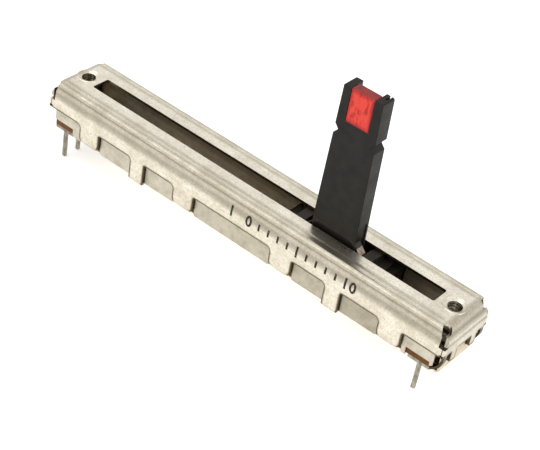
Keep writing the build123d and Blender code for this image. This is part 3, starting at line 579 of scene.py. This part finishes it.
def cast_red_epoxy(colour):
    """Cast diffused red epoxy: milky red, with painted shade towards its rim, and upright flow
    streaks.
    """
    material, tree = new_material("cast_red_epoxy")
    place = add_node(tree, "ShaderNodeTexCoord").outputs["Object"]
    # How near a place is to the rim: 0 in the middle of the body and 1 at its sides, foot or top
    low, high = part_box("led_body")
    axes = add_node(tree, "ShaderNodeSeparateXYZ", inputs={"Vector": place})
    shares = []
    for axis, index in (("X", 0), ("Z", 2)):
        half = (high[index] - low[index]) / 2
        offset = add_node(tree, "ShaderNodeMath", {"operation": "SUBTRACT"}, {
            0: axes.outputs[axis], 1: low[index] + half}).outputs[0]
        distance = add_node(tree, "ShaderNodeMath", {"operation": "ABSOLUTE"}, {
            0: offset}).outputs[0]
        shares.append(add_node(tree, "ShaderNodeMapRange", inputs={
            "Value": distance, "From Max": half}).outputs["Result"])
    edge_share = add_node(tree, "ShaderNodeMath", {"operation": "MAXIMUM"}, {
        0: shares[0], 1: shares[1]}).outputs[0]
    # Painted shade, deeper towards the rim
    rim_painted_shade = add_node(tree, "ShaderNodeValToRGB", inputs={"Fac": edge_share}, stops=(
        (0.70, "FFFFFF"), (0.88, "E09A92"), (0.985, "BC5A54"), (0.995, "984444"))).outputs["Color"]
    # Streaks about 0.7 mm wide that stand upright
    stretched = add_node(tree, "ShaderNodeMapping", inputs={
        "Vector": place, "Scale": (1, 1, 0.4)}).outputs["Vector"]
    streaks = add_node(tree, "ShaderNodeTexNoise", inputs={
        "Vector": stretched, "Scale": 1 / (0.7 * MM), "Detail": 3.0,
        "Roughness": 0.6}).outputs["Fac"]
    streaked = add_node(tree, "ShaderNodeValToRGB", inputs={"Fac": streaks}, stops=(
        (0.36, "C9564C"), (0.43, "EDB8B0"), (0.50, "FFFFFF"))).outputs["Color"]
    shade = linear(colour)
    for layer in (rim_painted_shade, streaked):
        shade = add_node(tree, "ShaderNodeMixRGB", {"blend_type": "MULTIPLY"}, {
            "Fac": 1.0, "Color1": shade, "Color2": layer}).outputs[0]
    end_material(tree, streaks, 0.03 * MM, {
        "Base Color": shade, "Roughness": 0.3, "IOR": 1.54, "Transmission Weight": 0.08,
        "Specular IOR Level": 0.35})
    return material


def stamped_ink(colour):
    """Stamping ink: thin and dull, paler where the stamp pressed lightly."""
    material, tree = new_material("stamped_ink")
    place = add_node(tree, "ShaderNodeTexCoord").outputs["Object"]
    # Patches about 0.5 mm across
    patches = add_node(tree, "ShaderNodeTexNoise", inputs={
        "Vector": place, "Scale": 1 / (0.5 * MM), "Detail": 3.0}).outputs["Fac"]
    light_press = add_node(tree, "ShaderNodeMapRange", inputs={
        "Value": patches, "From Min": 0.5, "From Max": 0.72, "To Min": 0.0,
        "To Max": 0.7}).outputs["Result"]
    shade = add_node(tree, "ShaderNodeMixRGB", inputs={
        "Fac": light_press, "Color1": linear(colour), "Color2": linear("8A8271")}).outputs[0]
    rough = add_node(tree, "ShaderNodeMapRange", inputs={
        "Value": patches, "To Min": 0.55, "To Max": 0.75}).outputs["Result"]
    shader = add_node(tree, "ShaderNodeBsdfPrincipled", inputs={
        "Base Color": shade, "Roughness": rough, "IOR": 1.5, "Specular IOR Level": 0.2})
    add_node(tree, "ShaderNodeOutputMaterial", inputs={"Surface": shader.outputs["BSDF"]})
    return material


class SLIDEPOT_OT_finish_sheet_metal(bpy.types.Operator):
    """Finish the cover and the tray as tinned sheet steel"""

    bl_idname = "slidepot.finish_sheet_metal"
    bl_label = "Finish sheet metal"

    def execute(self, context):
        dress(["top_cover"], tin_plated_cover_sheet(colours().cover))
        dress(["bottom_tray"], tin_plated_tray_sheet(colours().tray))
        return {"FINISHED"}


class SLIDEPOT_OT_finish_board(bpy.types.Operator):
    """Finish the laminate board and its printed tracks"""

    bl_idname = "slidepot.finish_board"
    bl_label = "Finish board and tracks"

    def execute(self, context):
        dress(["element_board"], phenolic_paper_laminate(colours().laminate))
        carbon = printed_film("printed_carbon_film", "1C1915", "3A352D", 0.0, 0.45)
        dress(["resistive_track"], carbon)
        silver = printed_film("printed_silver_film", "8A8475", "B8B2A2", 0.75, 0.42)
        dress(["collector_track", "led_cathode_track", "led_anode_track"], silver)
        return {"FINISHED"}


class SLIDEPOT_OT_finish_terminals(bpy.types.Operator):
    """Finish the pins and eyelets as tinned brass"""

    bl_idname = "slidepot.finish_terminals"
    bl_label = "Finish pins and eyelets"

    def execute(self, context):
        tinned = dipped_strip("tinned_brass_pins", "A9A395", "6F685A", 0.36)
        dress([name for name in NODES if name.startswith(("terminal_", "eyelet_"))], tinned)
        return {"FINISHED"}


class SLIDEPOT_OT_finish_mouldings(bpy.types.Operator):
    """Finish the lever and the carriage as black moulded plastic"""

    bl_idname = "slidepot.finish_mouldings"
    bl_label = "Finish mouldings"

    def execute(self, context):
        dress(["lever"], moulded_black_plastic("moulded_black_acetal", colours().moulding))
        # The carriage's lighter black is painted light for the shade under the cover
        dress(["carriage"], moulded_black_plastic("moulded_black_lifted_for_shade", colours().carriage))
        return {"FINISHED"}


class SLIDEPOT_OT_finish_light(bpy.types.Operator):
    """Finish the light, its chip and its two leads"""

    bl_idname = "slidepot.finish_light"
    bl_label = "Finish light"

    def execute(self, context):
        dress(["led_body"], cast_red_epoxy(colours().resin))
        # A sawn chip glitters like a film of coarse grains
        dress(["led_chip"], printed_film("sawn_light_chip", "8A7A4A", "C2B06A", 0.2, 0.3))
        dress(["led_lead_cathode", "led_lead_anode"], lead_ribbon_shaded_above_cover())
        return {"FINISHED"}


class SLIDEPOT_OT_finish_contacts(bpy.types.Operator):
    """Finish the wiper, the brushes and the drag spring"""

    bl_idname = "slidepot.finish_contacts"
    bl_label = "Finish contacts"

    def execute(self, context):
        bronze = dipped_strip("phosphor_bronze_strip", "C79A6B", "A67C50", 0.28)
        dress(["wiper", "led_brush_cathode", "led_brush_anode"], bronze)
        dress(["drag_spring"], dipped_strip("spring_steel_strip", "B9B7B2", "93918C", 0.3))
        return {"FINISHED"}


class SLIDEPOT_OT_cut_threads(bpy.types.Operator):
    """Model the thread in each tapped hole as one ridge wound up its wall"""

    bl_idname = "slidepot.cut_threads"
    bl_label = "Cut threads"

    def execute(self, context):
        size = sizes()
        depth = size.thread_root - size.thread_crest
        foot = COVER_TOP - 1.55 * MM
        # Wound up twice, by 1.3 turns each time
        turns, times, steps = 1.3, 2, 60
        # A triangle whose point looks at the hole's axis
        middle = (HOLE_REACH + size.thread_root - depth / 3, 0, foot)
        deselect_all()
        bpy.ops.mesh.primitive_circle_add(
            vertices=3, radius=depth, fill_type="NGON",
            location=middle, rotation=(math.pi / 2, 0, math.pi))
        ridge = context.object
        bpy.ops.object.transform_apply(location=True, rotation=True, scale=True)
        bpy.ops.object.mode_set(mode="EDIT")
        bpy.ops.mesh.select_all(action="SELECT")
        bpy.ops.mesh.delete(type="ONLY_FACE")
        bpy.ops.object.mode_set(mode="OBJECT")
        for point in ridge.data.vertices:
            towards_axis = point.co.x < middle[0]
            point.co.x = HOLE_REACH + (size.thread_crest if towards_axis else size.thread_root)
        context.scene.cursor.location = (HOLE_REACH, 0, foot)
        bpy.ops.object.origin_set(type="ORIGIN_CURSOR")
        winding = ridge.modifiers.new("winding", "SCREW")
        winding.axis = "Z"
        winding.angle = turns * 2 * math.pi
        winding.screw_offset = turns * size.thread_pitch
        winding.iterations = times
        winding.steps = winding.render_steps = steps
        apply_modifiers(ridge)
        bpy.ops.object.mode_set(mode="EDIT")
        bpy.ops.mesh.select_all(action="SELECT")
        bpy.ops.mesh.remove_doubles(threshold=0.001 * MM)
        bpy.ops.mesh.fill_holes(sides=3)
        bpy.ops.mesh.normals_make_consistent(inside=False)
        bpy.ops.object.mode_set(mode="OBJECT")
        bpy.ops.object.shade_smooth_by_angle(angle=math.radians(40))
        steel = tapped_steel()
        other = copy_to_left_hole(ridge)
        settle(ridge, "thread_right", steel)
        settle(other, "thread_left", steel)
        return {"FINISHED"}


class SLIDEPOT_OT_raise_hole_rings(bpy.types.Operator):
    """Model the low ring that the punch raised round each tapped hole"""

    bl_idname = "slidepot.raise_hole_rings"
    bl_label = "Raise hole rings"

    def execute(self, context):
        size = sizes()
        bead = 0.2 * MM
        sunk = 0.01 * MM
        deselect_all()
        bpy.ops.mesh.primitive_torus_add(
            major_radius=size.ring_radius, minor_radius=bead, major_segments=64, minor_segments=20,
            location=(HOLE_REACH, 0, COVER_TOP + size.ring_height - bead))
        ring = context.object
        bpy.ops.object.transform_apply(location=True, rotation=True, scale=True)
        bpy.ops.object.mode_set(mode="EDIT")
        bpy.ops.mesh.select_all(action="SELECT")
        # Only the part above the cover's face stays
        bpy.ops.mesh.bisect(
            plane_co=(0, 0, COVER_TOP - sunk), plane_no=(0, 0, 1), clear_inner=True, use_fill=False)
        bpy.ops.object.mode_set(mode="OBJECT")
        bpy.ops.object.shade_smooth_by_angle(angle=math.radians(60))
        steel = NODES["top_cover"].data.materials[0]
        other = copy_to_left_hole(ring)
        settle(ring, "hole_ring_right", steel)
        settle(other, "hole_ring_left", steel)
        return {"FINISHED"}


class SLIDEPOT_OT_fold_tray_end(bpy.types.Operator):
    """Model the low wall that the tray turns up behind the lugs at its right end"""

    bl_idname = "slidepot.fold_tray_end"
    bl_label = "Fold tray end"

    def execute(self, context):
        sheet, width = 0.35 * MM, 9.8 * MM
        # The carriage's end passes just over the wall
        rise = 3.05 * MM
        bend, cut_edge = 0.4 * MM, 0.05 * MM
        board_gap = 0.05 * MM
        # Edges that lie no farther off than this belong to a fold
        near = 0.01 * MM
        tray_low, tray_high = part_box("bottom_tray")
        start = tray_high[0]
        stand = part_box("element_board")[1][0] + board_gap + sheet / 2
        level = tray_low[2] + sheet / 2
        deselect_all()
        bpy.ops.mesh.primitive_plane_add(size=1.0, location=((start + stand) / 2, 0, level))
        wall = context.object
        wall.scale = (stand - start, width, 1)
        bpy.ops.object.transform_apply(location=True, rotation=True, scale=True)
        bpy.ops.object.mode_set(mode="EDIT")
        select_edges(wall, lambda middle: abs(middle.x - stand) < near)
        bpy.ops.mesh.extrude_region_move(TRANSFORM_OT_translate={"value": (0, 0, rise)})
        select_edges(wall, lambda middle: abs(middle.x - stand) + abs(middle.z - level) < near)
        bpy.ops.mesh.bevel(offset=bend, segments=4, affect="EDGES")
        bpy.ops.object.mode_set(mode="OBJECT")
        thick = wall.modifiers.new("sheet", "SOLIDIFY")
        thick.thickness = sheet
        thick.offset = 0
        round_off = wall.modifiers.new("cut_edge", "BEVEL")
        round_off.width = cut_edge
        round_off.segments = 2
        round_off.limit_method = "ANGLE"
        round_off.angle_limit = math.radians(60)
        apply_modifiers(wall)
        bpy.ops.object.shade_smooth_by_angle(angle=math.radians(40))
        settle(wall, "tray_end_wall", NODES["bottom_tray"].data.materials[0])
        return {"FINISHED"}


class SLIDEPOT_OT_stamp_scale(bpy.types.Operator):
    """Model the scale stamped on the front flange: a middle mark, then a scale from 0 to 10"""

    bl_idname = "slidepot.stamp_scale"
    bl_label = "Stamp scale"

    # Marks are drawn this far in front of the flange, then laid onto it
    standoff = 0.5 * MM

    def execute(self, context):
        size = sizes()
        level = COVER_TOP - 3.1 * MM
        middle_mark, zero, first_tick = -0.3 * MM, 3.4 * MM, 5.6 * MM
        ticks, long_tick, short_share = 9, 4, 0.62
        figure_gap = 1.5 * MM
        ten = first_tick + ticks * size.mark_pitch
        marks = [self.bar(context, middle_mark, level, size.mark_height)]
        marks.append(self.nought(context, zero, level))
        for count in range(ticks):
            height = size.mark_height * (1.0 if count == long_tick else short_share)
            marks.append(self.bar(context, first_tick + count * size.mark_pitch, level, height))
        marks.append(self.bar(context, ten, level, size.mark_height))
        marks.append(self.nought(context, ten + figure_gap, level))
        make_active(*marks)
        bpy.ops.object.join()
        scale = context.object
        bpy.ops.object.transform_apply(location=True, rotation=True, scale=True)
        lift, ink = 0.012 * MM, 0.02 * MM
        onto = scale.modifiers.new("onto_flange", "SHRINKWRAP")
        onto.target = NODES["top_cover"]
        onto.wrap_method = "PROJECT"
        onto.use_project_y = True
        onto.use_positive_direction = True
        onto.use_negative_direction = False
        onto.offset = lift
        thick = scale.modifiers.new("ink_thickness", "SOLIDIFY")
        thick.thickness = ink
        apply_modifiers(scale)
        settle(scale, "stamped_scale", stamped_ink(colours().ink))
        return {"FINISHED"}

    def bar(self, context, place, level, height):
        """One upright stroke, divided so that it can follow the flange."""
        deselect_all()
        bpy.ops.mesh.primitive_plane_add(
            size=1.0, location=(place, COVER_FRONT - self.standoff, level),
            rotation=(math.pi / 2, 0, 0))
        piece = context.object
        piece.scale = (sizes().mark_stroke, height, 1)
        bpy.ops.object.transform_apply(location=False, rotation=False, scale=True)
        bpy.ops.object.mode_set(mode="EDIT")
        bpy.ops.mesh.select_all(action="SELECT")
        bpy.ops.mesh.subdivide(number_cuts=7)
        bpy.ops.object.mode_set(mode="OBJECT")
        return piece

    def nought(self, context, place, level):
        """A figure 0, cut from a disc by an inset."""
        size = sizes()
        narrow = 0.62
        deselect_all()
        bpy.ops.mesh.primitive_circle_add(
            vertices=40, radius=size.mark_height / 2, fill_type="NGON",
            location=(place, COVER_FRONT - self.standoff, level), rotation=(math.pi / 2, 0, 0))
        piece = context.object
        piece.scale = (narrow, 1, 1)
        bpy.ops.object.transform_apply(location=False, rotation=False, scale=True)
        bpy.ops.object.mode_set(mode="EDIT")
        bpy.ops.mesh.select_all(action="SELECT")
        bpy.ops.mesh.inset(thickness=size.mark_stroke / 2)
        bpy.ops.mesh.inset(thickness=size.mark_stroke / 2)
        bpy.ops.mesh.delete(type="FACE")
        bpy.ops.object.mode_set(mode="OBJECT")
        return piece


class SLIDEPOT_OT_build_stage(bpy.types.Operator):
    """Place the floor, the lamps, the room light and the camera"""

    bl_idname = "slidepot.build_stage"
    bl_label = "Build stage"

    def execute(self, context):
        deselect_all()
        width = 6.0
        bpy.ops.mesh.primitive_plane_add(size=width, location=(0, 0, 0))
        floor = context.object
        floor.name = "floor"
        floor.data.materials.append(self.paper())
        self.room(context)
        self.lamps(context)
        self.camera(context)
        return {"FINISHED"}

    def paper(self):
        """White paper that camera, mirrors and glass see as nearly white, with the shadow kept."""
        material, tree = new_material("white_paper_floor")
        glow_strength = 0.45
        lift = add_node(tree, "ShaderNodeMath", {"operation": "MULTIPLY"}, {
            0: seen_directly(tree), 1: glow_strength}).outputs[0]
        sheet = add_node(tree, "ShaderNodeBsdfDiffuse", inputs={"Color": linear(colours().floor)})
        glow = add_node(tree, "ShaderNodeEmission", inputs={
            "Color": (1, 1, 1, 1), "Strength": lift})
        both = add_node(tree, "ShaderNodeAddShader", inputs={
            0: sheet.outputs[0], 1: glow.outputs[0]})
        add_node(tree, "ShaderNodeOutputMaterial", inputs={"Surface": both.outputs[0]})
        return material

    def room(self, context):
        """White for the camera, mirrors and glass, and an even soft light for the rest."""
        world = bpy.data.worlds.new("studio")
        context.scene.world = world
        world.use_nodes = True
        tree = world.node_tree
        tree.nodes.clear()
        strength = add_node(tree, "ShaderNodeMapRange", inputs={
            "Value": seen_directly(tree), "To Min": stage_settings().world_level, "To Max": 1.0})
        background = add_node(tree, "ShaderNodeBackground", inputs={
            "Color": (1, 1, 1, 1), "Strength": strength.outputs["Result"]})
        add_node(tree, "ShaderNodeOutputWorld", inputs={"Surface": background.outputs[0]})

    def lamps(self, context):
        """Large soft lamps that look at the part."""
        settings = stage_settings()
        for name, spot, size, power in (
            ("main_light", (-0.38, -0.50, 0.88), 1.2, settings.main_power),
            ("side_light", (0.70, 0.05, 0.30), 0.8, settings.side_power),
        ):
            lamp = bpy.data.lights.new(name, "AREA")
            lamp.shape = "DISK"
            lamp.size = size
            lamp.energy = power
            holder = bpy.data.objects.new(name, lamp)
            holder.location = spot
            holder.rotation_euler = (-Vector(spot)).to_track_quat("-Z", "Y").to_euler()
            context.collection.objects.link(holder)

    def camera(self, context):
        """The photograph's camera."""
        settings = stage_settings()
        camera = bpy.data.cameras.new("photograph")
        camera.sensor_width = SENSOR_WIDTH
        camera.lens = settings.focal_pixels / PICTURE_WIDTH * SENSOR_WIDTH
        camera.clip_start = 0.01
        holder = bpy.data.objects.new("photograph", camera)
        turn = Matrix.Rotation(settings.azimuth, 4, "Z")
        tilt = Matrix.Rotation(math.pi / 2 - settings.elevation, 4, "X")
        roll = Matrix.Rotation(settings.roll, 4, "Z")
        holder.matrix_world = Matrix.Translation(settings.camera_place) @ turn @ tilt @ roll
        context.collection.objects.link(holder)
        context.scene.camera = holder


class SLIDEPOT_PT_panel(bpy.types.Panel):
    """Lists the finishes and pieces of the slide potentiometer"""

    bl_idname = "SLIDEPOT_PT_panel"
    bl_label = "Slide potentiometer"
    bl_space_type = "VIEW_3D"
    bl_region_type = "UI"
    bl_category = "Slide pot"

    def draw(self, context):
        layout = self.layout
        for group in (colours(), sizes(), stage_settings()):
            box = layout.box()
            for name in group.bl_rna.properties.keys():
                if name not in ("rna_type", "name"):
                    box.prop(group, name)
        for operator in OPERATORS:
            layout.operator(operator.bl_idname)


OPERATORS = (
    SLIDEPOT_OT_finish_sheet_metal,
    SLIDEPOT_OT_finish_board,
    SLIDEPOT_OT_finish_terminals,
    SLIDEPOT_OT_finish_mouldings,
    SLIDEPOT_OT_finish_light,
    SLIDEPOT_OT_finish_contacts,
    SLIDEPOT_OT_cut_threads,
    SLIDEPOT_OT_raise_hole_rings,
    SLIDEPOT_OT_fold_tray_end,
    SLIDEPOT_OT_stamp_scale,
    SLIDEPOT_OT_build_stage,
)
GROUPS = (SLIDEPOT_PG_colours, SLIDEPOT_PG_sizes, SLIDEPOT_PG_stage)
CLASSES = GROUPS + OPERATORS + (SLIDEPOT_PT_panel,)


def register():
    for cls in CLASSES:
        bpy.utils.register_class(cls)
    bpy.types.Scene.slidepot_colours = bpy.props.PointerProperty(type=SLIDEPOT_PG_colours)
    bpy.types.Scene.slidepot_sizes = bpy.props.PointerProperty(type=SLIDEPOT_PG_sizes)
    bpy.types.Scene.slidepot_stage = bpy.props.PointerProperty(type=SLIDEPOT_PG_stage)


def unregister():
    del bpy.types.Scene.slidepot_stage
    del bpy.types.Scene.slidepot_sizes
    del bpy.types.Scene.slidepot_colours
    for cls in reversed(CLASSES):
        bpy.utils.unregister_class(cls)


def main():
    register()
    bpy.context.scene.view_settings.view_transform = "Standard"
    bpy.ops.slidepot.finish_sheet_metal()
    bpy.ops.slidepot.finish_board()
    bpy.ops.slidepot.finish_terminals()
    bpy.ops.slidepot.finish_mouldings()
    bpy.ops.slidepot.finish_light()
    bpy.ops.slidepot.finish_contacts()
    bpy.ops.slidepot.cut_threads()
    bpy.ops.slidepot.raise_hole_rings()
    bpy.ops.slidepot.fold_tray_end()
    bpy.ops.slidepot.stamp_scale()
    bpy.ops.slidepot.build_stage()


if __name__ == "__main__":
    main()
